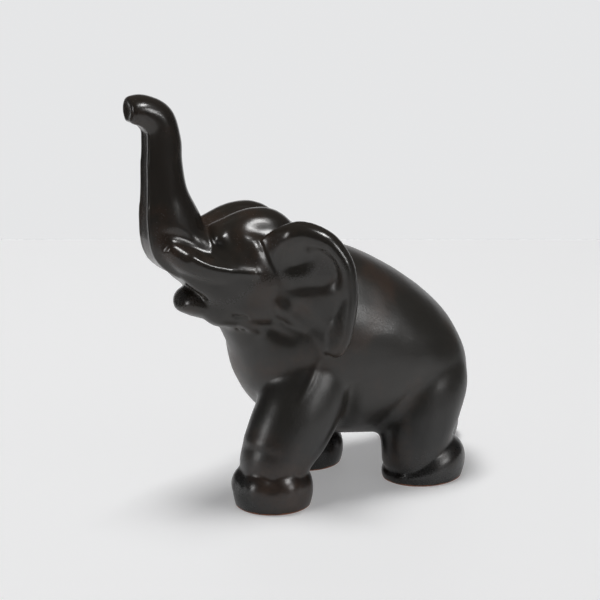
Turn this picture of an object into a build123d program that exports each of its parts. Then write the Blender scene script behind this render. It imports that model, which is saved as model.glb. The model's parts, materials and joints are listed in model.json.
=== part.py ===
from build123d import *

import math
import os

# A striding elephant figurine with a raised trunk, built hollow in red clay and joined while leather-hard.
# Millimetres. +X is the elephant's left, -Y is the way it walks, +Z is up. The soles stand on Z = 0.
# Each form is lofted through rings. A ring is (x, y, z, half width, half depth, lean): a lean of 0 lies flat,
# as in a standing leg, and 90 stands upright and faces the way the elephant walks, as in the barrel.
# Every y below is measured from the middle of the barrel, and the last step sets the whole on its own middle.

# Driving dimensions
barrel_wall = 6.0         # clay round the hollow barrel
head_wall = 8.0           # clay round the hollow head
core_radius = 6.0         # the hollow up the middle of each leg
core_floor = 12.0         # solid clay left under it
vent_radius = 3.5         # hole under the belly that lets the kiln's hot air out
vent_y = 12.0
neck_radius = 9.0         # passage between the hollow head and the hollow barrel
trunk_flat = 4.3          # half width of the flat front of the trunk
ear_thickness = 5.0
right_ear_drop = 5.5      # the right ear is set this much lower on the head than the left
ear_edge_radius = 1.5
ear_dish_depth = 2.6
ear_dish_radius = 17.0

flat_lying = 0.0
upright = 90.0

# The barrel, from the chest to the rump: y, top, bottom, half width
barrel_sections = [
    (-62.0, 77.0, 62.0, 8.0),
    (-59.0, 88.0, 51.0, 17.0),
    (-51.0, 103.0, 39.0, 25.5),
    (-39.0, 112.0, 30.0, 31.0),
    (-23.0, 114.5, 24.0, 34.5),
    (-6.0, 110.5, 20.5, 36.5),
    (12.0, 101.5, 19.0, 37.0),
    (28.0, 90.5, 20.0, 35.0),
    (40.0, 79.5, 23.5, 30.5),
    (47.5, 69.0, 29.0, 23.5),
    (52.0, 60.0, 36.0, 15.0),
    (54.0, 52.0, 43.0, 7.5),
]

# The throat, which rises from the chest to the jaw
throat_rings = [
    (0, -46.0, 54.0, 17.0, 13.0, flat_lying),
    (0, -48.5, 66.0, 18.0, 15.0, -5.0),
    (0, -53.0, 75.0, 17.0, 16.0, -12.0),
    (0, -58.0, 83.0, 15.0, 15.5, -18.0),
]

# The head, from the back of the skull to the muzzle: y, top, bottom, half width
head_sections = [
    (-26.0, 116.0, 92.0, 14.0),
    (-30.0, 123.0, 85.0, 21.0),
    (-39.0, 130.0, 77.0, 27.0),
    (-51.0, 133.5, 75.0, 29.0),
    (-62.0, 132.5, 78.0, 27.5),
    (-72.0, 129.0, 85.0, 22.5),
    (-80.5, 124.0, 92.5, 17.5),
    (-88.0, 120.0, 100.5, 12.0),
]

jaw_rings = [
    (0, -62.0, 86.5, 15.0, 9.0, upright),
    (0, -75.0, 91.0, 12.0, 7.6, upright),
    (0, -83.0, 93.2, 9.8, 6.6, upright),
    (0, -87.5, 94.0, 8.0, 6.0, upright),
    (0, -90.4, 93.8, 5.5, 4.4, upright),
    (0, -91.6, 93.6, 3.0, 2.6, upright),
]

# The trunk, from its root between the cheeks up to the nostrils
trunk_rings = [
    (0, -72.0, 107.0, 17.0, 15.0, 62.0),
    (0, -83.0, 113.5, 14.5, 15.5, 50.0),
    (0, -91.0, 122.0, 12.5, 14.6, 26.0),
    (0, -93.3, 133.5, 10.6, 13.2, 6.0),
    (0, -95.3, 145.0, 8.8, 9.9, 4.0),
    (0, -96.2, 158.0, 8.0, 8.7, 1.0),
    (0, -96.3, 167.0, 7.8, 8.3, 8.0),
    (0, -98.6, 176.4, 7.6, 7.9, 40.0),
    (0, -105.5, 181.0, 7.0, 7.2, 78.0),
    (0, -111.5, 181.6, 6.2, 5.8, upright),
]

# Tusk sheaths, which swell along each side of the trunk's root
sheath_rings = [
    (18.0, -68.0, 110.0, 5.0, 6.0, 75.0),
    (16.5, -80.0, 113.5, 4.6, 5.6, 65.0),
    (13.5, -91.0, 119.0, 4.0, 5.0, 55.0),
    (11.0, -97.0, 124.0, 3.0, 3.4, 50.0),
]

# The left ear stands on a line from its root by the cheek to its rear edge: x and y of both ends
ear_root = (21.0, -61.0)
ear_rear = (42.0, -21.0)

# Its outline on that line: how far back from the root, and height above the ground
ear_outline = [
    (-1.0, 124.0),
    (7.0, 130.5),
    (19.0, 133.0),
    (32.5, 128.0),
    (42.0, 116.0),
    (44.7, 100.0),
    (42.5, 83.0),
    (37.0, 70.5),
    (32.5, 69.5),
    (25.0, 75.5),
    (13.0, 84.0),
    (1.0, 95.0),
    (-3.0, 110.0),
]
ear_dish_middle = (23.0, 106.0)

tail_rings = [
    (0, 44.5, 73.0, 3.4, 3.4, 140.0),
    (0, 51.0, 66.0, 3.0, 3.0, 152.0),
    (0, 55.0, 57.0, 2.6, 2.6, 168.0),
    (0, 56.5, 47.0, 2.4, 2.4, 178.0),
    (0, 56.0, 40.0, 3.2, 3.0, 184.0),
    (0, 55.0, 33.5, 1.6, 1.5, 186.0),
]

# Every foot is the same up to the ankle. Its rings have x and y from the middle of the sole.
foot_rings = [
    (0.0, 0.0, 0.0, 15.5, 16.0, flat_lying),
    (0.0, 0.0, 4.0, 17.8, 18.2, flat_lying),
    (0.0, 0.0, 9.0, 18.3, 18.6, flat_lying),
    (0.0, 0.4, 14.0, 16.6, 17.2, flat_lying),
]

# Each leg: x and y of the middle of its sole, and its rings above the ankle, whose x is measured outwards
legs = {
    "left_front_leg": (23.0, -54.5, [
        (0.0, 2.0, 20.0, 16.2, 17.6, -8.0),
        (-1.0, 7.5, 30.0, 16.8, 19.5, -22.0),
        (-2.5, 15.0, 43.0, 17.0, 20.0, -24.0),
        (-5.0, 25.0, 58.0, 16.0, 19.0, -24.0),
        (-8.0, 34.0, 72.0, 12.0, 15.0, -24.0),
    ]),
    "right_front_leg": (-20.0, -16.0, [
        (0.0, 0.0, 20.0, 15.5, 16.0, 0.0),
        (-1.0, 0.0, 32.0, 15.5, 17.0, 0.0),
        (-1.0, -1.5, 46.0, 15.0, 18.0, 6.0),
        (-3.0, -5.5, 60.0, 12.0, 15.0, 12.0),
    ]),
    "left_rear_leg": (23.0, 22.5, [
        (0.0, -1.0, 20.0, 16.0, 17.2, 0.0),
        (-1.0, 1.0, 30.0, 16.8, 19.5, 0.0),
        (-3.0, 4.0, 44.0, 17.5, 23.5, 0.0),
        (-6.0, 4.5, 58.0, 15.5, 22.0, 0.0),
        (-10.0, 3.5, 70.0, 10.0, 16.0, 0.0),
    ]),
    "right_rear_leg": (-23.0, 47.0, [
        (0.0, -1.5, 20.0, 15.8, 16.2, 8.0),
        (-1.0, -7.0, 30.0, 16.8, 18.0, 14.0),
        (-3.0, -14.5, 44.0, 17.5, 21.0, 14.0),
        (-6.0, -20.0, 58.0, 15.5, 20.0, 14.0),
        (-10.0, -23.0, 70.0, 10.0, 15.0, 14.0),
    ]),
}


def plane_of(x, y, z, lean):
    turn = math.radians(lean)
    return Plane((x, y, z), x_dir=(1, 0, 0), z_dir=(0, -math.sin(turn), math.cos(turn)))


def loft_rings(rings, ruled=False):
    ellipses = []
    for x, y, z, half_width, half_depth, lean in rings:
        ellipses.append(plane_of(x, y, z, lean) * Ellipse(half_width, half_depth))
    return loft(ellipses, ruled=ruled)


def loft_sections(sections, inset=0.0):
    """A form through upright ellipses, drawn in all round by inset and left out where little is left."""
    least = inset + 2.0
    rings = []
    for y, top, bottom, half_width in sections:
        half_height = (top - bottom) / 2
        if inset == 0 or min(half_width, half_height) > least:
            rings.append((0, y, (top + bottom) / 2, half_width - inset, half_height - inset, upright))
    return loft_rings(rings)


def mirrored(shape):
    return mirror(shape, about=Plane.YZ)


def rod(start, end, radius):
    """A round bar from one point to another, used to bore a passage."""
    run = Vector(*end) - Vector(*start)
    bar = Cylinder(radius, run.length, align=(Align.CENTER, Align.CENTER, Align.MIN))
    return Plane(start, z_dir=run) * bar


def trunk_section(ring):
    """An oval with a flat front that has a crisp edge down each side."""
    x, y, z, half_width, half_depth, lean = ring
    flat = Line((-trunk_flat, -half_depth), (trunk_flat, -half_depth))
    back = Spline(
        (trunk_flat, -half_depth),
        (half_width, 0.05 * half_depth),
        (0, half_depth),
        (-half_width, 0.05 * half_depth),
        (-trunk_flat, -half_depth),
        tangents=[(0.75, 0.66), (0.75, -0.66)],
    )
    return plane_of(x, y, z, lean) * make_face([flat, back])


def make_trunk():
    sheath = loft_rings(sheath_rings)
    return loft([trunk_section(ring) for ring in trunk_rings]) + sheath + mirrored(sheath)


def make_ear():
    """The left ear: a slab of its outline, rounded round the edge and dished on its outer face."""
    root = Vector(*ear_root, 0)
    along = (Vector(*ear_rear, 0) - root).normalized()
    stand = Plane(root, x_dir=along, z_dir=along.cross(Vector(0, 0, 1)))
    slab = extrude(make_face([Spline(*ear_outline, periodic=True)]), ear_thickness)
    slab = fillet(slab.edges(), ear_edge_radius)
    ball_radius = (ear_dish_radius**2 + ear_dish_depth**2) / (2 * ear_dish_depth)
    ball = Pos(*ear_dish_middle, ear_thickness + ball_radius - ear_dish_depth) * Sphere(ball_radius)
    return stand * (slab - ball)


def make_leg(foot_x, foot_y, upper_rings):
    rings = []
    for x, y, z, half_width, half_depth, lean in foot_rings + upper_rings:
        rings.append((foot_x + math.copysign(x, x * foot_x), foot_y + y, z, half_width, half_depth, lean))
    return loft_rings(rings, ruled=True)


def make_leg_core(foot_x, foot_y, upper_rings):
    top_x, top_y, top_z = upper_rings[-1][:3]
    top = (foot_x + math.copysign(top_x, top_x * foot_x), foot_y + top_y, top_z)
    return rod((foot_x, foot_y, core_floor), top, core_radius)


throat = loft_rings(throat_rings)
barrel = loft_sections(barrel_sections) + throat
skull = loft_sections(head_sections)
head_hollow = loft_sections(head_sections, inset=head_wall) - throat
neck_passage = rod((0, -52, 108), (0, -28, 82), neck_radius)
belly_vent = rod((0, vent_y, 0), (0, vent_y, 60), vent_radius)
trunk = make_trunk()
ear = make_ear()

parts = {
    "head": skull - barrel - head_hollow,
    "trunk": trunk - skull,
    "lower_jaw": loft_rings(jaw_rings) - skull - barrel - trunk,
    "left_ear": ear - skull - barrel,
    "right_ear": Pos(0, 0, -right_ear_drop) * mirrored(ear) - skull - barrel,
    "tail": loft_rings(tail_rings) - barrel,
}
torso = barrel - loft_sections(barrel_sections, inset=barrel_wall) - neck_passage - belly_vent
for name, leg_dimensions in legs.items():
    core = make_leg_core(*leg_dimensions)
    parts[name] = make_leg(*leg_dimensions) - barrel - core
    torso = torso - core
parts["torso"] = torso

whole = Compound(children=[shape.solid() for shape in parts.values()]).bounding_box()
os.makedirs("parts", exist_ok=True)
for name, shape in parts.items():
    export_step(Pos(0, -whole.center().Y, 0) * shape.solid(), f"parts/{name}.step")
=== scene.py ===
# %% [markdown]
# # A black-glazed elephant
# This figurine is built from soft red clay: a hollow barrel, a head, a trunk, a jaw, two ears, four legs
# and a tail, pressed together, smoothed over with wet fingers and dipped in a black glaze. The lesson
# follows the potter. First rough lumps are set in place, then they are fused and softened, then the details
# are pressed in, and at the end the skin is parted again along the joints, so that every piece is an object
# of its own.

# %% Load the frame
import json
import math

import bmesh
import bpy
import numpy as np
from mathutils import Matrix, Vector, noise
from mathutils.bvhtree import BVHTree


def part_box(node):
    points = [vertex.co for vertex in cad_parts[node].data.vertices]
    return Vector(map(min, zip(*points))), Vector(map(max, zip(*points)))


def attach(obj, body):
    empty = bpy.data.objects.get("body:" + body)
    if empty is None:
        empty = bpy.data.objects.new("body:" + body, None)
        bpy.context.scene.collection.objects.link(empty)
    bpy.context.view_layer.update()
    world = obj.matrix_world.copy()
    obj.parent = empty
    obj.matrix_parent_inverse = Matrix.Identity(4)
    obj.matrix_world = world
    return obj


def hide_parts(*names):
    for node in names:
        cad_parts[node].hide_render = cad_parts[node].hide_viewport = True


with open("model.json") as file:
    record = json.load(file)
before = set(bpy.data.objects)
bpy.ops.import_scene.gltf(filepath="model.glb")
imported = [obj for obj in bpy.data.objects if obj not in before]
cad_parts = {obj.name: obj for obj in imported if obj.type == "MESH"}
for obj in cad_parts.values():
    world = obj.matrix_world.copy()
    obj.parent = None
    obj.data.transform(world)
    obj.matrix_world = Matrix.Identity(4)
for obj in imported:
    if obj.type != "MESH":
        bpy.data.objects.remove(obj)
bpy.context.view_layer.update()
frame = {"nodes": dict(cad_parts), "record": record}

print("pieces in the frame:", ", ".join(sorted(frame["nodes"])))

# %% [markdown]
# ## Where things are
# Clay is measured in millimetres here, from the middle of the barrel: +X is the elephant's left, -Y the way
# it walks and +Z up. The frame's origin is midway along the whole figurine instead, so one number joins the
# two: how far back the barrel's own middle sits. It is read from the frame, so nothing has to be fitted by
# hand.

# %% From clay to frame
millimetre = 0.001
rump_y = 54.0
set_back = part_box("torso")[1].y / millimetre - rump_y
to_frame = Matrix.Scale(millimetre, 4) @ Matrix.Translation((0, set_back, 0))
print("the barrel's middle sits", round(set_back, 2), "mm back")

# %% [markdown]
# ## Lumps of clay
# Every form starts as a lump lofted through rings, as a coil pot is. A ring is (x, y, z, half width, half
# depth, lean): lean 0 lies flat, as in a standing leg, and 90 stands upright, as in the barrel. A smooth
# line through the rings gives the ones between, `create_circle` makes each, and `bridge_loops` skins them.
# The other way is to sculpt a sphere by eye, but rings keep the sizes in plain sight.

# %% A smooth line through rows of numbers
def smooth_line(rows, steps, closed=False):
    """The rows with steps - 1 more between each two, on a curve that passes through all of them."""
    rows = np.array(rows, float)
    if closed:
        padded = np.vstack([rows[-1], rows, rows[0], rows[1]])
    else:
        padded = np.vstack([2 * rows[0] - rows[1], rows, 2 * rows[-1] - rows[-2]])
    between = (np.arange(steps) / steps)[:, None]
    line = []
    for a, b, c, d in zip(padded, padded[1:], padded[2:], padded[3:]):
        line.append(b + between / 2 * (c - a + between * (2 * a - 5 * b + 4 * c - d
                                                          + between * (3 * b - a - 3 * c + d))))
    if not closed:
        line.append(rows[-1:])
    return np.vstack(line)


# %% Lumps from rings and balls
upright = 90.0


def skin_loops(clay, loops):
    for lower, upper in zip(loops, loops[1:]):
        bmesh.ops.bridge_loops(clay, edges=lower + upper)
    for end in (loops[0], loops[-1]):
        bmesh.ops.contextual_create(clay, geom=end)


def add_lump(clay, rings, flat_front=1.0, steps=4, around=48):
    """A closed form through the rings. A flat_front under 1 cuts the front of each ring off flat."""
    loops = []
    for x, y, z, half_width, half_depth, lean in smooth_line(rings, steps):
        ring = bmesh.ops.create_circle(clay, segments=around, radius=1.0)["verts"]
        for point in ring:
            point.co.y = max(point.co.y, -flat_front)
        place = (Matrix.Translation((x, y, z)) @ Matrix.Rotation(math.radians(lean), 4, "X")
                 @ Matrix.Diagonal((half_width, half_depth, 1, 1)))
        bmesh.ops.transform(clay, matrix=place, verts=ring)
        loops.append(list({edge for point in ring for edge in point.link_edges}))
    skin_loops(clay, loops)


def add_ball(clay, centre, radii):
    """A ball squeezed to three radii."""
    place = Matrix.Translation(centre) @ Matrix.Diagonal((*radii, 1))
    bmesh.ops.create_uvsphere(clay, u_segments=32, v_segments=20, radius=1.0, matrix=place)


def rings_of(sections):
    """Upright rings from y, top, bottom and half width, which is how a barrel is measured."""
    return [(0, y, (top + bottom) / 2, half_width, (top - bottom) / 2, upright)
            for y, top, bottom, half_width in sections]


def on_side(side, places):
    """Places measured on the elephant's left, side 1, or their mirror images on its right, side -1."""
    return [(side * x, *rest) for x, *rest in places]


# %% [markdown]
# ## Fusing
# A potter scores two pieces, adds slip and works the seam away. Remesh in voxel mode does the same: it
# wraps all the overlapping lumps in one even skin. Smooth then lets the corners between them sink into soft
# curves. Big forms get a coarse skin and much smoothing first, because fine details would melt away if they
# were already there.

# %% Fuse
def fuse(clay, voxel, softening, onto=None):
    """One skin of quads about a voxel wide, round every lump and round an earlier skin, and softened."""
    bmesh.ops.recalc_face_normals(clay, faces=clay.faces)
    if onto:
        clay.from_mesh(onto)
    mesh = bpy.data.meshes.new("clay")
    clay.to_mesh(mesh)
    clay.free()
    thing = bpy.data.objects.new("clay", mesh)
    bpy.context.scene.collection.objects.link(thing)
    wrap = thing.modifiers.new("wrap", "REMESH")
    wrap.mode = "VOXEL"
    wrap.voxel_size = voxel
    soften = thing.modifiers.new("soften", "SMOOTH")
    soften.factor = 0.5
    soften.iterations = softening
    bpy.context.view_layer.update()
    skin = bpy.data.meshes.new_from_object(thing.evaluated_get(bpy.context.evaluated_depsgraph_get()))
    bpy.data.objects.remove(thing)
    print("fused:", len(skin.polygons), "faces")
    return skin


# %% [markdown]
# ## The barrel and the legs
# The barrel is highest over the shoulders and slopes down to the rump. The left front leg strides forward
# and the left rear leg stands under the flank, while the right ones stand the other way about. Each leg
# runs well up into the barrel, so that the softening makes a shoulder or a haunch of the overlap.

# %% Barrel, shoulders and haunches
barrel = [
    (-62.0, 77.0, 62.0, 8.0),
    (-59.0, 88.0, 51.0, 17.0),
    (-51.0, 103.0, 39.0, 25.5),
    (-39.0, 112.0, 30.0, 31.0),
    (-23.0, 114.5, 23.0, 34.5),
    (-6.0, 110.5, 19.5, 36.5),
    (12.0, 101.5, 18.0, 37.0),
    (28.0, 90.5, 19.5, 35.0),
    (40.0, 79.5, 23.5, 30.5),
    (47.5, 69.0, 29.0, 23.5),
    (52.0, 60.0, 36.0, 15.0),
    (54.0, 52.0, 43.0, 7.5),
]
throat = [
    (0, -46.0, 54.0, 17.0, 13.0, 0.0),
    (0, -48.5, 66.0, 18.0, 15.0, -5.0),
    (0, -53.0, 75.0, 17.0, 16.0, -12.0),
    (0, -58.0, 83.0, 15.0, 15.5, -18.0),
]
ankle_height = 17.0

# Each leg: x and y of its foot, how its toes turn out, or 0 for no toes, and its rings from the foot's middle
legs = {
    "left_front": (23.0, -54.5, 7.0, [
        (0.0, 0.5, ankle_height - 5, 14.5, 15.0, 0.0),
        (0.0, 1.5, ankle_height + 2, 15.8, 16.8, -6.0),
        (-0.5, 7.0, 30.0, 16.8, 19.0, -22.0),
        (-2.0, 15.0, 43.0, 17.2, 20.0, -24.0),
        (-5.0, 25.0, 58.0, 16.0, 19.0, -24.0),
        (-8.0, 34.0, 72.0, 12.0, 15.0, -24.0),
    ]),
    "right_front": (-20.0, -16.0, 7.0, [
        (0.0, 0.5, ankle_height - 5, 14.5, 15.0, 0.0),
        (0.0, 0.0, ankle_height + 2, 15.5, 16.0, 0.0),
        (-1.0, 0.0, 32.0, 15.5, 17.0, 0.0),
        (-1.0, -1.5, 46.0, 15.0, 18.0, 6.0),
        (-3.0, -5.5, 60.0, 12.0, 15.0, 12.0),
    ]),
    "left_rear": (23.0, 22.5, 0.0, [
        (0.0, -1.5, ankle_height - 11, 15.2, 16.5, 4.0),
        (0.0, -1.5, ankle_height + 1, 16.0, 17.2, 6.0),
        (-1.0, 1.0, 30.0, 16.8, 19.5, 0.0),
        (-3.0, 3.4, 44.0, 17.5, 22.2, 0.0),
        (-6.0, 3.8, 58.0, 15.5, 20.6, 0.0),
        (-10.0, 3.5, 70.0, 10.0, 16.0, 0.0),
    ]),
    "right_rear": (-23.0, 47.0, 0.0, [
        (0.0, 0.0, ankle_height - 5, 14.5, 15.0, 4.0),
        (0.0, -1.5, ankle_height + 2, 15.8, 16.2, 8.0),
        (-1.0, -7.0, 30.0, 16.8, 18.0, 16.0),
        (-3.0, -14.5, 44.0, 17.5, 21.0, 16.0),
        (-6.0, -20.0, 58.0, 15.5, 20.0, 16.0),
        (-10.0, -23.0, 70.0, 10.0, 15.0, 14.0),
    ]),
}

# %% [markdown]
# ## The skull
# The skull is a blunt cone. Its crown is two long lobes with a valley between them, and its cheeks swell
# where the ears grow out. All of that is soft, so it goes into the first fusing with the barrel and the
# legs.

# %% Skull, crown and cheeks, and the first fusing
skull = [
    (-26.0, 112.0, 92.0, 14.0),
    (-30.0, 121.0, 85.0, 21.0),
    (-39.0, 128.5, 77.0, 25.5),
    (-51.0, 132.5, 75.0, 26.5),
    (-62.0, 131.5, 78.0, 25.5),
    (-72.0, 127.5, 86.5, 23.0),
    (-80.5, 121.5, 95.5, 18.0),
    (-88.0, 117.0, 102.5, 12.0),
]
lobe = [
    (6.0, -78.0, 119.5, 7.0, 9.8, upright),
    (6.8, -71.0, 120.5, 8.5, 11.0, upright),
    (7.3, -62.0, 122.0, 9.5, 12.5, upright),
    (7.5, -52.0, 122.0, 10.0, 13.0, upright),
    (7.5, -45.0, 121.0, 9.5, 12.0, upright),
    (7.5, -39.0, 118.0, 8.5, 10.5, upright),
    (7.5, -36.0, 116.0, 6.0, 6.5, upright),
]
cheek = [
    (17.5, -55.0, 96.0, 5.0, 13.0, 86.0),
    (16.8, -66.0, 97.5, 5.8, 12.5, 84.0),
    (14.2, -77.0, 102.5, 5.8, 8.0, 76.0),
    (10.6, -86.0, 108.0, 5.2, 6.0, 62.0),
    (8.2, -91.5, 113.5, 4.0, 5.5, 54.0),
]

jowl = (16.5, -57.0, 97.0)
jowl_radii = (8.5, 15.0, 18.0)
chin = (8.5, -69.0, 91.5)
chin_radii = (11.0, 14.5, 10.0)

clay = bmesh.new()
add_lump(clay, rings_of(barrel))
add_lump(clay, throat)
add_lump(clay, rings_of(skull))
for side in (1, -1):
    add_lump(clay, on_side(side, lobe))
    add_ball(clay, *on_side(side, [jowl]), jowl_radii)
    add_ball(clay, *on_side(side, [chin]), chin_radii)
    add_lump(clay, on_side(side, cheek))
for foot_x, foot_y, _, rings in legs.values():
    outward = math.copysign(1, foot_x)
    add_lump(clay, [(foot_x + outward * x, foot_y + y, *rest) for x, y, *rest in rings])
skin = fuse(clay, voxel=1.6, softening=12)

# %% [markdown]
# ## Feet
# Each front foot is a fat, low cushion with four round toes, and each hind foot a plain one that rises to
# the heel. The lumps reach below the ground, and a cut at Z = 0 later gives the flat sole that a figurine
# stands on.

# %% Feet and toes
foot = [
    (0, 0, -3.0, 15.5, 16.0, 0),
    (0, 0, 1.0, 17.4, 17.6, 0),
    (0, 0, 6.0, 18.4, 18.4, 0),
    (0, 0, 11.0, 18.0, 18.0, 0),
    (0, 0, 15.0, 15.5, 15.8, 0),
    (0, 0, 17.0, 11.0, 11.0, 0),
]
toe_angles = (-84, -28, 28, 84)
toe_radius = 10.2
toe_reach = 8.8
toe_height = 9.2
heel = [
    (0, 2.0, -3.0, 15.5, 17.5, 0),
    (0, 2.0, 1.0, 17.2, 19.6, 3),
    (0, 2.5, 6.0, 18.2, 20.4, 8),
    (0, 2.8, 10.5, 17.6, 18.6, 14),
    (0, 1.8, 14.5, 15.0, 15.2, 17),
    (0, 1.5, 17.0, 11.0, 11.5, 17),
]


def add_foot(clay, foot_x, foot_y, toe_turn):
    """A front foot has four fat toes. A hind foot is a longer cushion whose top rises to the heel."""
    add_lump(clay, [(foot_x + x, foot_y + y, *rest) for x, y, *rest in (foot if toe_turn else heel)])
    for angle in toe_angles if toe_turn else ():
        turn = math.radians(toe_turn + angle)
        toe_x = foot_x + toe_reach * math.copysign(math.sin(turn), foot_x * math.sin(turn))
        toe_y = foot_y - toe_reach * math.cos(turn)
        add_ball(clay, (toe_x, toe_y, toe_height), (toe_radius, toe_radius, toe_radius))


clay = bmesh.new()
for foot_x, foot_y, toe_turn, _ in legs.values():
    add_foot(clay, foot_x, foot_y, toe_turn)
print("feet and toes:", len(clay.verts), "points")

# %% [markdown]
# ## Trunk, tusk sheaths and jaw
# The trunk stands straight up and bends forward at the tip. Its section is an oval with its front cut off
# flat, which leaves a crisp edge down each side. A tusk sheath swells along each side of its root like a
# fat cord, blunt in front, and the jaw curls up under it like a small beak.

# %% Trunk, sheaths and jaw
trunk = [
    (0, -70.0, 107.0, 17.0, 12.0, 64.0),
    (0, -83.0, 115.0, 14.0, 14.5, 50.0),
    (0, -91.3, 122.0, 11.8, 15.4, 26.0),
    (0, -93.8, 133.5, 10.2, 14.0, 6.0),
    (0, -95.8, 145.0, 8.8, 10.7, 4.0),
    (0, -96.6, 158.0, 8.0, 9.4, 1.0),
    (0, -96.6, 167.0, 7.8, 8.9, 8.0),
    (0, -98.8, 176.4, 7.6, 8.3, 40.0),
    (0, -105.5, 181.0, 7.2, 7.4, 78.0),
    (0, -111.0, 181.8, 6.6, 6.3, upright),
    (0, -112.3, 181.8, 5.2, 5.0, upright),
]
sheath = [
    (15.5, -57.0, 107.0, 9.0, 6.5, 86.0),
    (14.3, -68.0, 108.0, 9.5, 6.8, 82.0),
    (12.0, -80.0, 110.6, 8.8, 6.8, 70.0),
    (9.3, -90.0, 115.4, 7.6, 6.2, 60.0),
    (7.7, -96.0, 120.0, 6.4, 5.2, 54.0),
    (7.2, -98.6, 122.6, 5.2, 3.8, 52.0),
]
jaw = [
    (0, -62.0, 86.5, 17.0, 9.0, upright),
    (0, -75.0, 91.0, 15.0, 7.6, 88.0),
    (0, -83.0, 93.2, 12.4, 6.6, 84.0),
    (0, -86.8, 94.2, 9.6, 5.8, 80.0),
    (0, -89.4, 94.2, 6.8, 4.4, 76.0),
    (0, -90.5, 94.0, 3.6, 2.6, 76.0),
]

trunk_flat = 0.84

add_lump(clay, trunk, flat_front=trunk_flat, steps=6, around=64)
add_lump(clay, jaw, steps=6)
for side in (1, -1):
    add_lump(clay, on_side(side, sheath), steps=5)
print("with trunk, sheaths and jaw:", len(clay.verts), "points")

# %% [markdown]
# ## Ears
# An ear is a slab that stands on a slanting line from the cheek to its free rear edge. It is lofted like
# the lumps, but its rings are all the ear's outline: from the middle of the back out to the rim, round the
# rim, and in again across the dished front. The rim is a thick roll along the top and the back, and sinks
# away where the ear grows out of the cheek.

# %% Ears
def smooth_step(low, high, value):
    part = np.clip((value - low) / (high - low), 0, 1)
    return part * part * (3 - 2 * part)


ear_root = Vector((21.0, -61.0, 0))
ear_rear = Vector((42.0, -21.0, 0))
ear_outline = [
    (-1.0, 119.0),
    (6.0, 127.3),
    (18.5, 132.6),
    (32.5, 128.0),
    (42.0, 116.0),
    (44.7, 101.0),
    (43.6, 87.0),
    (40.8, 75.5),
    (36.3, 69.6),
    (30.5, 70.5),
    (23.0, 77.5),
    (12.5, 85.5),
    (1.0, 96.0),
    (-3.0, 108.0),
]
# From the middle of the back round to the middle of the front: part of the outline, and how far out it stands
ear_profile = [
    (0.05, -1.0), (0.5, -1.0), (0.8, -1.2), (0.94, -0.6), (1.0, 1.5), (0.995, 3.4), (0.965, 5.2),
    (0.91, 6.6), (0.84, 7.2), (0.76, 6.7), (0.68, 5.3), (0.6, 3.7), (0.48, 2.3), (0.25, 1.8), (0.05, 2.0),
]
ear_back_face = -1.0
ear_sink = 2.0
grown_on_rim = 0.15
# The rim comes up to its full roll between these two heights, or between these two distances back
rim_rises = (78, 104)
rim_comes_free = (28, 42)
right_ear_drop = 5.5
cheek_reach = 16.0
along_ear = (ear_rear - ear_root).normalized()
out_of_ear = along_ear.cross(Vector((0, 0, 1)))


def on_ear(back, height, out=0.0):
    """A point on the left ear: how far back from its root, how high, and how far out from its line."""
    return ear_root + along_ear * back + Vector((0, 0, height)) + out_of_ear * out


def rim_roll(back, height):
    """1 where the rim is a full roll, and 0 where the ear has grown into the cheek."""
    free_edge = max(smooth_step(*rim_rises, height), smooth_step(*rim_comes_free, back))
    return float(smooth_step(0, cheek_reach, back) * free_edge)


def add_ear(clay, side, drop):
    outline = smooth_line(ear_outline, 6, closed=True)
    middle = outline.mean(axis=0)
    loops = []
    for part, out in smooth_line(ear_profile, 3):
        ring = bmesh.ops.create_circle(clay, segments=len(outline), radius=1.0)["verts"]
        for point, (back, height) in zip(ring, middle + (outline - middle) * part):
            rolled = rim_roll(back, height)
            free = grown_on_rim + (1 - grown_on_rim) * rolled
            out_here = ear_back_face + (out - ear_back_face) * free - ear_sink * (1 - rolled)
            point.co = on_ear(back, height, out_here)
            point.co.x *= side
            point.co.z -= drop
        loops.append(list({edge for point in ring for edge in point.link_edges}))
    skin_loops(clay, loops)


for side in (1, -1):
    add_ear(clay, side, drop=0.0 if side > 0 else right_ear_drop)
print("with the ears:", len(clay.verts), "points")

# %% [markdown]
# ## The tail
# The tail lies down the middle of the rump, in low relief, with a small tuft at its end.

# %% Tail, and the second fusing
tail = [
    (0, 44.0, 73.0, 3.4, 3.4, 140.0),
    (0, 49.5, 66.0, 3.0, 3.0, 152.0),
    (0, 52.8, 57.0, 2.7, 2.7, 168.0),
    (0, 53.6, 47.0, 2.5, 2.5, 180.0),
    (0, 51.5, 39.0, 3.2, 3.0, 196.0),
    (0, 48.8, 32.5, 1.6, 1.5, 204.0),
]
add_lump(clay, tail, around=24)
skin = fuse(clay, voxel=0.72, softening=10, onto=skin)

# %% [markdown]
# ## Pressing in the details
# Creases, ridges and hollows are strokes of a thumb or a tool. A stroke is a line laid on the skin: points
# near it move along their own normals, in or out, less the further they are from it, and less towards its
# ends. Only the side of a thin wall that faces the stroke moves. Most strokes are made on both sides of the
# figure.

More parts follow.
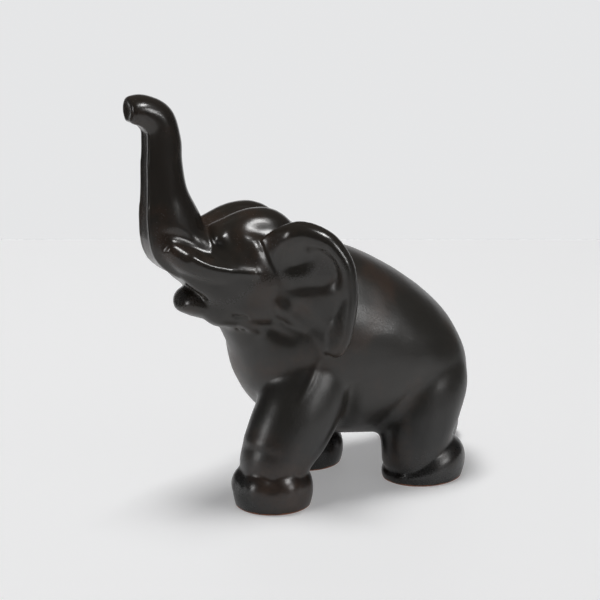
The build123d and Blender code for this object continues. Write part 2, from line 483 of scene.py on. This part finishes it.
# %% Strokes
class Skin:
    """The coordinates and normals of a mesh, worked on as arrays."""

    def __init__(self, mesh):
        self.mesh = mesh
        self.tree = None
        self.at = np.empty(len(mesh.vertices) * 3)
        mesh.vertices.foreach_get("co", self.at)
        self.at = self.at.reshape(-1, 3)
        self.read_normals()

    def read_normals(self):
        self.normals = np.empty(len(self.at) * 3)
        self.mesh.vertex_normals.foreach_get("vector", self.normals)
        self.normals = self.normals.reshape(-1, 3)

    def write(self):
        self.mesh.vertices.foreach_set("co", self.at.ravel())
        self.mesh.update()
        self.read_normals()

    def weight(self, line, width, fade=True):
        """For every point of the skin, 1 on the line and 0 well away from it."""
        if self.tree is None:
            self.tree = BVHTree.FromPolygons(self.at, [tuple(face.vertices) for face in self.mesh.polygons])
        total = np.zeros(len(self.at))
        reach = 3 * width
        near = (self.at > line.min(axis=0) - reach) & (self.at < line.max(axis=0) + reach)
        where = np.nonzero(near.all(axis=1))[0]
        for place, sample in zip(np.linspace(0, 1, len(line)), line):
            snapped, facing, _, _ = self.tree.find_nearest(Vector(sample))
            apart = np.linalg.norm(self.at[where] - np.array(snapped), axis=1)
            strength = math.sin(math.pi * (0.12 + 0.76 * place)) if fade else 1.0
            same_side = np.clip(2 * (self.normals[where] @ np.array(facing)) + 0.4, 0, 1)
            total[where] = np.maximum(total[where], strength * same_side * np.exp(-(apart / width) ** 2))
        return total

    def press(self, path, width, depth, sides=(1, -1), fade=True):
        """Presses the skin in by depth along a path, or draws it out where depth is below nought."""
        path = np.array(path, float)
        line = path
        if len(path) > 1:
            longest = np.linalg.norm(np.diff(path, axis=0), axis=1).max()
            line = smooth_line(path, int(2 * longest / width) + 2)
        for side in sides:
            moved = self.weight(line * (side, 1, 1), width, fade and len(path) > 1)
            self.at -= self.normals * (depth * moved)[:, None]


clay_skin = Skin(skin)
print("ready for", len(clay_skin.at), "points")

# %% [markdown]
# ### Head and trunk
# The lines are the ones that catch the light: the valley along the crown, the groove over each tusk sheath
# and the ridge along it, the crease from the trunk's root down to the cheek, and the edge of the cheek
# where the head overlaps the neck. The brow, the eye and the temple are low bumps, drawn out of the skin.

# %% Press the head
edge_width = 0.54
crown_valley = [(0, -76, 128), (0, -62, 132), (0, -48, 132), (0, -38, 127)]
over_sheath = [(9.5, -99, 128), (13.0, -91.5, 126), (16.5, -83.5, 122)]
root_crease = [(9.5, -78, 124.5), (15, -75.5, 120.5), (21, -71.5, 115.5)]
sheath_ridge = [(15.5, -89, 116.8), (18.9, -82.5, 113.2), (21.3, -75, 111.4), (23.4, -68.5, 110.2),
                (24.5, -64, 109.5)]
brow = [(14.2, -75.5, 124.2)]
eye = [(18.0, -66.5, 125)]
temple = [(21.5, -62, 126), (23.5, -61.5, 117)]
eye_corner = [(14.8, -70.5, 125), (18.5, -69, 119)]
cheek_edge = [(19.0, -71.5, 88.5), (22, -62, 84), (25, -53, 80.5), (28, -47.5, 78.0)]
throat_nick = [(18.5, -70.5, 89), (21.5, -66.5, 88)]
nostril = [(0, -113, 182)]
pinholes = [(15.0, -65.1, 80.7), (20.2, -61.9, 84.0), (12.2, -67.0, 80.2)]
trunk_edge = [(edge_width * half_width, y - trunk_flat * half_depth * math.cos(math.radians(lean)),
               z - trunk_flat * half_depth * math.sin(math.radians(lean)))
              for _, y, z, half_width, half_depth, lean in trunk[1:-1]]

clay_skin.press(crown_valley, 3.4, 1.6, sides=(1,))
clay_skin.press(over_sheath, 2.4, 0.9)
clay_skin.press(root_crease, 2.4, 0.6)
clay_skin.press(sheath_ridge, 2.2, -1.0, fade=False)
clay_skin.press(brow, 3.2, -1.3)
clay_skin.press(eye, 4.4, -1.5)
clay_skin.press(temple, 3.6, -1.2)
clay_skin.press(eye_corner, 2.6, 0.6)
clay_skin.press(cheek_edge, 2.8, 1.4)
clay_skin.write()
clay_skin.press(trunk_edge, 1.3, -0.5)
clay_skin.press(throat_nick, 1.0, 1.4, fade=False)
clay_skin.press(nostril, 3.4, 1.2, sides=(1,))
for pinhole in pinholes:
    clay_skin.press([pinhole], 0.8, 0.9, sides=(1,))
clay_skin.write()
print("head pressed, the trunk's tip is", round(clay_skin.at[:, 2].max(), 1), "mm up")

# %% [markdown]
# ### Ears
# Inside the rim the ear has a pillow in its upper front, a valley that runs round it, a vein that slants
# down to the tip and a hollow beside it. They are placed by how far back they are from the ear's root, and
# how high.

# %% Press the ears
def ear_path(*places):
    return [tuple(on_ear(back, height, 3.0)) for back, height in places]


valley = ear_path((31, 120), (34, 114), (34, 107), (30, 103), (23, 102.5), (15, 101.5))
ear_hole = ear_path((14, 100.5), (13, 97.5))
pillow_dip = ear_path((13, 112), (19, 113), (24, 117))
pillow_edge = ear_path((26, 118), (25.5, 112), (24, 106))
vein = ear_path((17, 99), (24, 93), (32, 82))
vein_hollow = ear_path((19, 90), (25, 83))

clay_skin.press(valley, 3.0, 1.6)
clay_skin.press(ear_hole, 3.4, 0.7, fade=False)
clay_skin.press(pillow_dip, 3.2, 1.0)
clay_skin.press(pillow_edge, 2.4, -0.8)
clay_skin.press(vein, 3.6, -0.8)
clay_skin.press(vein_hollow, 3.6, 0.8, fade=False)
clay_skin.write()
print("ears pressed, the widest point is", round(clay_skin.at[:, 0].max(), 1), "mm out")

# %% [markdown]
# ### Body and feet
# A ridge runs down the left shoulder, the left front leg folds over its foot in a loose cuff, the elbow is
# parted from the belly by a deep crease, and the flank is hollow in front of the left hind leg.

# %% Press the body
shoulder_ridge = [(32.5, -36, 67), (34, -41, 59), (35, -47, 51)]
elbow_crease = [(20, -16, 30), (28, -17.5, 40), (33, -19, 51)]
flank_hollow = [(24, 0, 26), (31, 5, 34), (36, 12, 44), (37, 18, 54)]
cuff_fold = [(12, -71, 29.5), (20, -69, 28.5), (30, -66, 28.5), (37, -59, 27)]
cuff_swell = [(12, -71, 33), (20, -69, 32.2), (30, -66, 32.2), (37, -59, 30.7)]

clay_skin.press(shoulder_ridge, 1.6, -0.8, sides=(1,))
clay_skin.press(elbow_crease, 3.4, 2.6, sides=(1,))
clay_skin.press(flank_hollow, 6.0, 1.2, sides=(1,))
clay_skin.press(cuff_fold, 2.4, 0.35, sides=(1,))
clay_skin.press(cuff_swell, 3.0, -0.3, sides=(1,))
clay_skin.write()

# %% [markdown]
# ## A hand-made surface
# Nothing that a hand has smoothed is quite even. A slow noise moves the skin by a sixth of a millimetre,
# which shows only in how the highlights waver.

# %% Unevenness, the soles and the move to the frame
unevenness = 0.16
lump_size = 9.0
for i, point in enumerate(clay_skin.at):
    clay_skin.at[i] += clay_skin.normals[i] * unevenness * noise.noise(Vector(point) / lump_size)
clay_skin.write()

clay = bmesh.new()
clay.from_mesh(skin)
cut = bmesh.ops.bisect_plane(clay, geom=clay.verts[:] + clay.edges[:] + clay.faces[:], plane_co=(0, 0, 0),
                             plane_no=(0, 0, 1), clear_inner=True)
soles = [piece for piece in cut["geom_cut"] if isinstance(piece, bmesh.types.BMEdge)]
bmesh.ops.holes_fill(clay, edges=soles, sides=0)
bmesh.ops.transform(clay, matrix=to_frame, verts=clay.verts)
clay.to_mesh(skin)
clay.free()
skin.update()
print("skin:", len(skin.polygons), "faces")

# %% [markdown]
# ## Where the glaze is glossy
# The glaze lies thick and glossy over the head, trunk and ears and dries to a satin on the body. How glossy
# it is belongs to the place on the figure, so it is kept as an attribute of the skin that the material
# reads. The skin's normals are kept too: they stop the joints from showing once the pieces are parted.

# %% Gloss and normals as attributes
at = np.empty(len(skin.vertices) * 3)
skin.vertices.foreach_get("co", at)
at = at.reshape(-1, 3) / millimetre - (0, set_back, 0)
neck_slope = 0.35
height_on_neck = at[:, 2] - neck_slope * (at[:, 1] + 60)
gloss_of_head = smooth_step(92, 112, height_on_neck) * smooth_step(-12, -30, at[:, 1])
gloss_of_feet = 0.5 * smooth_step(24, 14, at[:, 2])
gloss = np.maximum(gloss_of_head, gloss_of_feet)
print("glossy share of the skin:", round(float((gloss > 0.5).mean()), 2))
skin.attributes.new("gloss", "FLOAT", "POINT").data.foreach_set("value", gloss)
normals = np.empty(len(skin.vertices) * 3)
skin.vertex_normals.foreach_get("vector", normals)
skin.attributes.new("fused_normal", "FLOAT_VECTOR", "POINT").data.foreach_set("vector", normals)

# %% [markdown]
# ## Parting the pieces
# Each face of the skin belongs to the frame's piece whose surface is nearest. A few rounds of voting among
# neighbours then tidy the joint lines, and crumbs that are cut off from their piece join the one around
# them.

# %% Name every face's piece
names = sorted(frame["nodes"])
own_vote = 1.5
voting_rounds = 12


def nearest_piece(skin):
    points, faces, owner = [], [], []
    for index, name in enumerate(names):
        mesh = frame["nodes"][name].data
        start = len(points)
        points += [point.co.copy() for point in mesh.vertices]
        faces += [[start + corner for corner in face.vertices] for face in mesh.polygons]
        owner += [index] * len(mesh.polygons)
    tree = BVHTree.FromPolygons(points, faces)
    return np.array([owner[tree.find_nearest(face.center)[2]] for face in skin.polygons])


def neighbours(skin):
    """Pairs of faces that share an edge."""
    edge_of = np.empty(len(skin.loops), int)
    skin.loops.foreach_get("edge_index", edge_of)
    sizes = np.empty(len(skin.polygons), int)
    skin.polygons.foreach_get("loop_total", sizes)
    face_of = np.repeat(np.arange(len(skin.polygons)), sizes)
    order = np.argsort(edge_of, kind="stable")
    return face_of[order].reshape(-1, 2)


def vote(labels, pairs, rounds):
    both = np.vstack([pairs, pairs[:, ::-1]])
    for _ in range(rounds):
        votes = np.bincount(both[:, 0] * len(names) + labels[both[:, 1]], minlength=len(labels) * len(names))
        votes = votes.reshape(-1, len(names)).astype(float)
        votes[np.arange(len(labels)), labels] += own_vote
        labels = votes.argmax(axis=1)
    return labels


def join_crumbs(labels, pairs):
    """Gives every patch but a piece's largest to the piece that surrounds it."""
    same = labels[pairs[:, 0]] == labels[pairs[:, 1]]
    patch = np.arange(len(labels))
    a, b = pairs[same].T
    while True:
        lowest = patch.copy()
        np.minimum.at(lowest, a, patch[b])
        np.minimum.at(lowest, b, patch[a])
        lowest = lowest[lowest]
        if (lowest == patch).all():
            break
        patch = lowest
    sizes = np.bincount(patch, minlength=len(labels))
    for index in range(len(names)):
        patches = np.unique(patch[labels == index])
        for crumb in sorted(patches, key=lambda p: sizes[p])[:-1]:
            inside = patch == crumb
            edge = pairs[inside[pairs[:, 0]] != inside[pairs[:, 1]]]
            around = labels[np.where(inside[edge[:, 0]], edge[:, 1], edge[:, 0])]
            labels[inside] = np.bincount(around, minlength=len(names)).argmax()
    return labels


pairs = neighbours(skin)
labels = join_crumbs(vote(nearest_piece(skin), pairs, voting_rounds), pairs)
for index, name in enumerate(names):
    print(name, int((labels == index).sum()), "faces")

# %% [markdown]
# ## Closing the pieces
# A parted piece is open where it met its neighbours. Each opening is closed with a fan of faces to its
# middle, which is sunk towards the heart of the figure and is never seen, so that every piece is a solid of
# its own.

# %% Cut out and close each piece
cap_depth = 0.011
heart = to_frame @ Vector((0, -22, 80))


def part_piece(index, name):
    clay = bmesh.new()
    clay.from_mesh(skin)
    others = [face for face in clay.faces if labels[face.index] != index]
    bmesh.ops.delete(clay, geom=others, context="FACES")
    open_edges = [edge for edge in clay.edges if edge.is_boundary]
    caps = bmesh.ops.holes_fill(clay, edges=open_edges, sides=0)["faces"]
    for middle in bmesh.ops.poke(clay, faces=caps)["verts"]:
        middle.co += cap_depth * (heart - middle.co).normalized()
    bmesh.ops.triangulate(clay, faces=[face for face in clay.faces if len(face.verts) > 4])
    bmesh.ops.recalc_face_normals(clay, faces=clay.faces)
    mesh = bpy.data.meshes.new(name)
    clay.to_mesh(mesh)
    open_left = sum(edge.is_boundary for edge in clay.edges)
    clay.free()
    mesh.shade_smooth()
    kept = np.empty(len(mesh.vertices) * 3, np.float32)
    mesh.attributes["fused_normal"].data.foreach_get("vector", kept)
    mesh.normals_split_custom_set_from_vertices(kept.reshape(-1, 3).tolist())
    mesh.attributes.remove(mesh.attributes["fused_normal"])
    piece = bpy.data.objects.new("glazed_" + name, mesh)
    bpy.context.scene.collection.objects.link(piece)
    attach(piece, "root")
    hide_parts(name)
    print(piece.name, len(mesh.polygons), "faces, open edges:", open_left)
    return piece


pieces = {name: part_piece(index, name) for index, name in enumerate(names)}

# %% [markdown]
# ## Writing a material as sums
# A shader is maths on sockets, so it reads best as maths. `Wire` holds a socket, and sums on it add the
# Math nodes. Every other node comes from `Shader.node`.

# %% A socket that can stand in a sum
class Wire:
    def __init__(self, shader, socket):
        self.shader = shader
        self.socket = socket

    def maths(self, operation, *values):
        return self.shader.node("ShaderNodeMath", {"operation": operation}, dict(enumerate(values)))

    def __add__(self, other):
        return self.maths("ADD", self, other)

    def __radd__(self, other):
        return self.maths("ADD", other, self)

    def __sub__(self, other):
        return self.maths("SUBTRACT", self, other)

    def __rsub__(self, other):
        return self.maths("SUBTRACT", other, self)

    def __mul__(self, other):
        return self.maths("MULTIPLY", self, other)

    def __rmul__(self, other):
        return self.maths("MULTIPLY", other, self)

    def ramp(self, low, high):
        """0 at low and 1 at high, smooth between."""
        return self.shader.node("ShaderNodeMapRange", {"interpolation_type": "SMOOTHSTEP"},
                                {"Value": self, "From Min": low, "From Max": high})


class Shader:
    def __init__(self, owner):
        owner.use_nodes = True
        self.tree = owner.node_tree
        self.tree.nodes.clear()

    def node(self, kind, settings=None, sockets=None, output=0):
        made = self.tree.nodes.new(kind)
        for name, value in (settings or {}).items():
            setattr(made, name, value)
        for name, value in (sockets or {}).items():
            if isinstance(value, Wire):
                self.tree.links.new(value.socket, made.inputs[name])
            else:
                made.inputs[name].default_value = value
        return Wire(self, made.outputs[output]) if made.outputs else made

    def mix(self, part, first, second):
        """One colour over another, by part."""
        return self.node("ShaderNodeMix", {"data_type": "RGBA"}, {0: part, 6: first, 7: second}, output=2)


# %% [markdown]
# ## Black glaze
# Iron glaze is black where it is thick and red-brown where it runs thin over red clay. Its satin comes from
# fine crystals, which show as a speckle in the highlights. At the very bottom of each foot the glaze was
# wiped off, and the bare clay shows in a thin, ragged line.

# %% The glaze
satin_roughness = 0.36
glossy_roughness = 0.23
thick_black = (0.0255, 0.0222, 0.0178, 1)
# painted shade: a darker black for the lower legs and feet, standing in for the shade round them near the
# table
painted_foot_shade = (0.0100, 0.0095, 0.0085, 1)
# a red-brown for thin glaze, also laid over the head and trunk as painted light
brown_for_thin_glaze_and_painted_light = (0.062, 0.034, 0.021, 1)
red_clay = (0.30, 0.115, 0.055, 1)
clouds_per_metre = 34
crystals_per_metre = 1100


def make_glaze(name):
    material = bpy.data.materials.new(name)
    shader = Shader(material)
    place = shader.node("ShaderNodeTexCoord", output="Object")

    def speckle(scale, detail, roughness=0.5):
        return shader.node("ShaderNodeTexNoise", {}, {"Vector": place, "Scale": scale, "Detail": detail,
                                                      "Roughness": roughness})

    gloss = shader.node("ShaderNodeAttribute", {"attribute_name": "gloss"}, output="Fac")
    height = shader.node("ShaderNodeSeparateXYZ", {}, {0: place}, output="Z")
    clouds = speckle(clouds_per_metre, 4, 0.6)
    crystals = speckle(crystals_per_metre, 3, 0.6)
    # random brown where the glaze runs thin, plus painted light: the same brown laid over everything above
    # 100 mm to lighten the head and trunk
    thin_glaze_and_painted_light = clouds.ramp(0.46, 0.72) * 0.65 + height.ramp(0.10, 0.15) * 0.12
    # painted shade: the black turns darker from 55 mm down to 18 mm above the table, standing in for the
    # shade round the feet
    black = shader.mix(height.ramp(0.018, 0.055), painted_foot_shade, thick_black)
    colour = shader.mix(thin_glaze_and_painted_light, black, brown_for_thin_glaze_and_painted_light)
    ragged = speckle(180, 3) * 0.0016
    bare = (height + ragged).ramp(0.0016, 0.0011)
    colour = shader.mix(bare, colour, red_clay)
    patchy = clouds.ramp(0.3, 0.7) * 0.06 + crystals * 0.20 - 0.13
    roughness = satin_roughness + patchy + (glossy_roughness - satin_roughness) * gloss + 0.35 * bare
    grain = shader.node("ShaderNodeBump", {}, {"Strength": 0.2, "Distance": 0.00025,
                                               "Height": crystals * (1 - 0.5 * gloss)})
    surface = shader.node("ShaderNodeBsdfPrincipled", {}, {
        "Base Color": colour, "Roughness": roughness, "Normal": grain, "IOR": 1.52})
    shader.node("ShaderNodeOutputMaterial", {}, {"Surface": surface})
    return material


slots = {entry["node"]: entry["material_slot"] for entry in frame["record"]["subparts"]}
glazes = {name: make_glaze(name) for name in ("satin_black_glaze", "glossy_black_glaze")}
for name, piece in pieces.items():
    piece.data.materials.append(glazes[slots[name]])

# %% [markdown]
# ## Table, light and camera
# The figurine stands on a pale table, lit by a softbox overhead that the glaze doesn't mirror. A black
# glaze shows little but what it reflects, so the other light is laid out by its reflections: a high softbox
# for the crown, the ear's rim and the sheath, a low one beside the elephant's left flank, a small one in
# front, and a room that is pale beyond the table and dim on the viewer's side. The table ends a little way
# in front of the figure, so only the surfaces that look down mirror it.

# %% Camera
view_azimuth = math.radians(63)
view_height = math.radians(16)
view_distance = 0.9
target = to_frame @ Vector((0, -28.9, 86.6))
towards_viewer = Vector((math.sin(view_azimuth) * math.cos(view_height),
                         -math.cos(view_azimuth) * math.cos(view_height), math.sin(view_height)))
camera = bpy.data.objects.new("camera", bpy.data.cameras.new("camera"))
camera.data.angle = math.radians(17.466)
camera.location = target + view_distance * towards_viewer
camera.rotation_euler = towards_viewer.to_track_quat("Z", "Y").to_euler()
bpy.context.scene.collection.objects.link(camera)
bpy.context.scene.camera = camera

# %% Table
table_behind = 0.455
table_before = 0.43
table_width = 0.7
top = bmesh.new()
bmesh.ops.create_grid(top, x_segments=1, y_segments=1, size=0.5)
bmesh.ops.transform(top, verts=top.verts, matrix=(
    Matrix.Translation(target * Vector((1, 1, 0))) @ Matrix.Rotation(view_azimuth, 4, "Z")
    @ Matrix.Translation((0, (table_behind - table_before) / 2, 0))
    @ Matrix.Diagonal((table_width, table_behind + table_before, 1, 1))))
table = bpy.data.objects.new("table", bpy.data.meshes.new("table"))
top.to_mesh(table.data)
top.free()
bpy.context.scene.collection.objects.link(table)
paint = Shader(bpy.data.materials.new("table_white"))
paint.node("ShaderNodeOutputMaterial", {}, {"Surface": paint.node("ShaderNodeBsdfPrincipled", {}, {
    "Base Color": (0.78, 0.78, 0.783, 1), "Roughness": 0.6,
    "Emission Color": (0.99, 0.99, 1.0, 1), "Emission Strength": 0.26})})
table.data.materials.append(bpy.data.materials["table_white"])
print("table:", table_width, "m wide and", table_behind + table_before, "m deep")

# %% Softboxes
def add_softbox(name, direction, distance, width, height, power, lights_table):
    """A softbox is either one that lights the table or one that the glaze mirrors."""
    light = bpy.data.lights.new(name, "AREA")
    light.shape = "RECTANGLE"
    light.size = width
    light.size_y = height
    light.energy = power
    softbox = bpy.data.objects.new(name, light)
    direction = Vector(direction).normalized()
    softbox.location = target + distance * direction
    softbox.rotation_euler = direction.to_track_quat("Z", "Y").to_euler()
    softbox.visible_diffuse = lights_table
    softbox.visible_glossy = not lights_table
    bpy.context.scene.collection.objects.link(softbox)


add_softbox("overhead", (-0.10, -0.06, 1.0), 2.6, 0.80, 0.80, 46.0, lights_table=True)
add_softbox("high", (0.60, 0.30, 0.74), 2.6, 0.64, 0.56, 32.0, lights_table=False)
add_softbox("flank", (0.80, 0.42, 0.30), 1.6, 0.34, 0.44, 5.8, lights_table=False)
add_softbox("front", (0.06, -0.95, 0.20), 1.6, 0.30, 0.56, 6.0, lights_table=False)

# %% Room
room = bpy.data.worlds.new("room")
bpy.context.scene.world = room
sky = Shader(room)
direction = sky.node("ShaderNodeTexCoord", output="Generated")
away = sky.node("ShaderNodeVectorMath", {"operation": "DOT_PRODUCT"},
                {0: direction, 1: tuple(-towards_viewer)}, output="Value")
upward = sky.node("ShaderNodeSeparateXYZ", {}, {0: direction}, output="Z")
glow = 0.10 + 0.85 * away.ramp(0.7, 0.92) * upward.ramp(0.8, 0.35)
seen = sky.node("ShaderNodeLightPath", output="Is Camera Ray")
strength = glow + seen * (0.80 - glow)
sky.node("ShaderNodeOutputWorld", {}, {"Surface": sky.node("ShaderNodeBackground", {}, {
    "Color": (0.985, 0.99, 1.0, 1), "Strength": strength})})
bpy.context.scene.view_settings.view_transform = "Standard"
